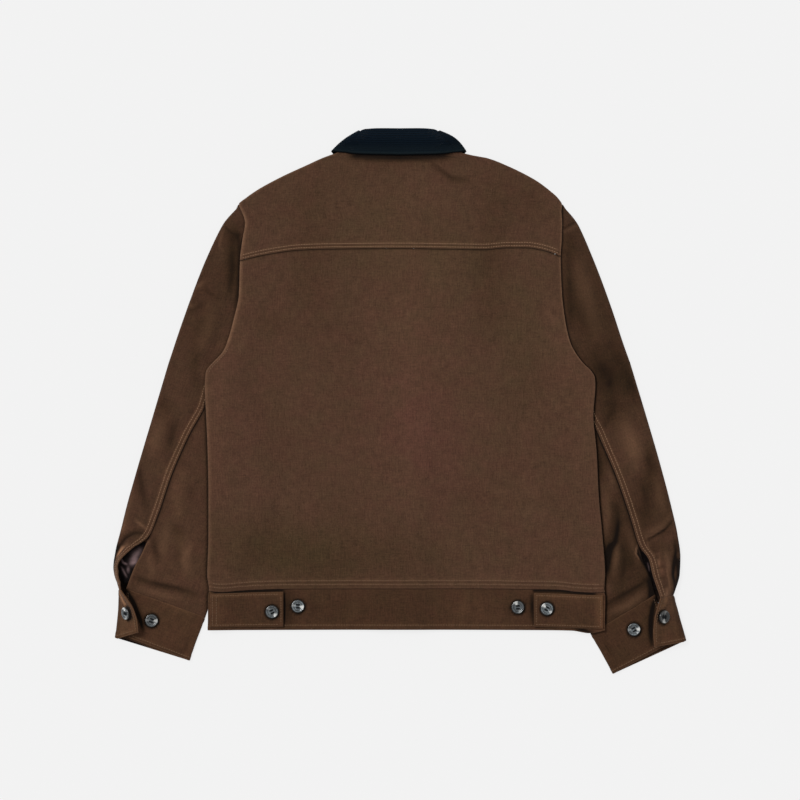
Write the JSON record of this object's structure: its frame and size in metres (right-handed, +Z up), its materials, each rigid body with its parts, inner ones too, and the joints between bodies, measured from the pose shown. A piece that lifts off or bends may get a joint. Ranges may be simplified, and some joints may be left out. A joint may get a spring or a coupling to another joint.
{
  "type": "jacket",
  "caption": "Brown canvas work jacket laid flat on its front, with a corduroy collar, back yoke, waistband side tabs and buttoned cuffs.",
  "frame": {"origin": "middle of the bounding box, on the surface that the jacket lies on", "axes": "+Z up out of the jacket's back, +Y towards the collar, +X to the wearer's right"},
  "size_m": [0.8014, 0.7632, 0.0318],
  "materials": {
    "canvas": "brushed cotton canvas, matt, slightly worn",
    "canvas_band": "the same canvas, darker where it is doubled",
    "corduroy": "fine corduroy, matt",
    "satin": "satin lining, soft sheen",
    "horn": "polished imitation horn"
  },
  "bodies": {
    "root": {"back_panel": "canvas", "back_yoke": "canvas", "collar_fall": "corduroy", "collar_stand": "corduroy", "cuff_button_left": "horn", "cuff_button_right": "horn", "cuff_flap_button_left": "horn", "cuff_flap_button_right": "horn", "cuff_left": "canvas_band", "cuff_right": "canvas_band", "front_button_1": "horn", "front_button_2": "horn", "front_button_3": "horn", "front_button_4": "horn", "front_button_5": "horn", "front_button_6": "horn", "front_left": "canvas", "front_placket_left": "canvas", "front_placket_right": "canvas", "front_right": "canvas", "sleeve_lining_left": "satin", "sleeve_lining_right": "satin", "sleeve_under_left": "canvas", "sleeve_under_right": "canvas", "sleeve_upper_left": "canvas", "sleeve_upper_right": "canvas", "waist_button_left": "horn", "waist_button_right": "horn", "waist_tab_button_left": "horn", "waist_tab_button_right": "horn", "waist_tab_left": "canvas_band", "waist_tab_right": "canvas_band", "waistband_back": "canvas_band", "waistband_front_left": "canvas_band", "waistband_front_right": "canvas_band"}
  },
  "joints": []
}
